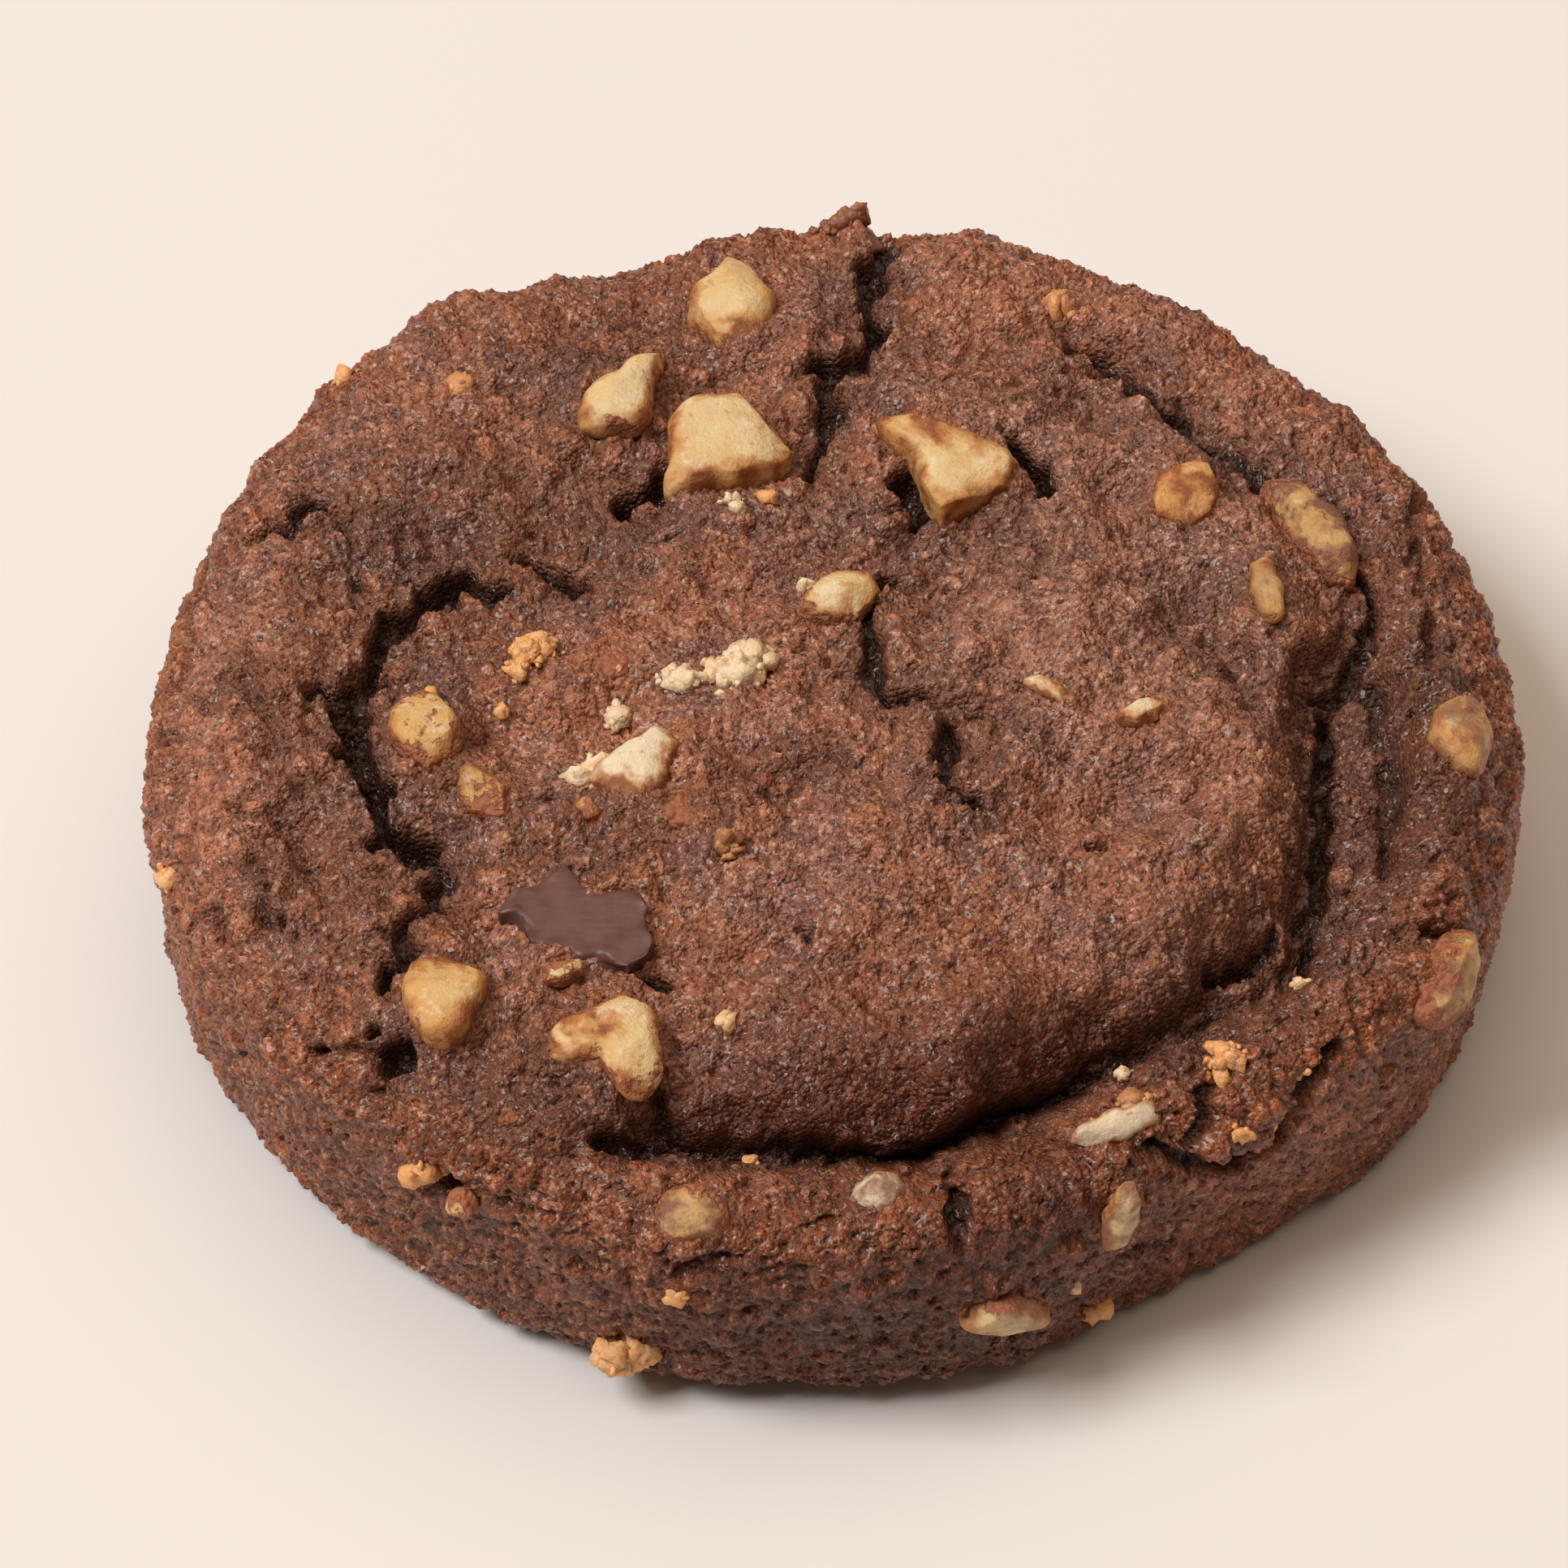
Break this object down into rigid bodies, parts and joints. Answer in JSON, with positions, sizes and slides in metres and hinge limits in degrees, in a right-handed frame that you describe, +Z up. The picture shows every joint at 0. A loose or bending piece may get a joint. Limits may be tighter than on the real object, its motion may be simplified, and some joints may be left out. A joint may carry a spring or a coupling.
{
  "type": "fudge nut brownie cookie",
  "caption": "Thick round fudge brownie cookie with a cracked, craggy top, a folded rim, walnut pieces and a chocolate chunk.",
  "frame": {"origin": "middle of the flat base, on the surface that the cookie rests on", "axes": "+Z up through the cookie's thickness, -Y towards the side with the deep fold, +X to the right"},
  "size_m": [0.0813, 0.0804, 0.0219],
  "materials": {
    "dough": "baked fudge brownie dough, rough and craggy with a faint greasy sheen",
    "walnut": "toasted walnut pieces, pale gold, slightly waxy",
    "chocolate": "dark chocolate, smooth with a dull bloom"
  },
  "bodies": {
    "root": {"dough": "dough", "walnut_01": "walnut", "walnut_02": "walnut", "walnut_03": "walnut", "walnut_04": "walnut", "walnut_05": "walnut", "walnut_06": "walnut", "walnut_07": "walnut", "walnut_08": "walnut", "walnut_09": "walnut", "walnut_10": "walnut", "walnut_11": "walnut", "walnut_12": "walnut", "walnut_13": "walnut", "walnut_14": "walnut", "walnut_15": "walnut", "walnut_16": "walnut", "walnut_17": "walnut", "walnut_18": "walnut", "walnut_19": "walnut", "walnut_20": "walnut", "walnut_21": "walnut", "walnut_22": "walnut", "walnut_23": "walnut", "walnut_24": "walnut", "walnut_25": "walnut", "walnut_26": "walnut", "walnut_27": "walnut", "chocolate_chunk": "chocolate"}
  },
  "joints": []
}
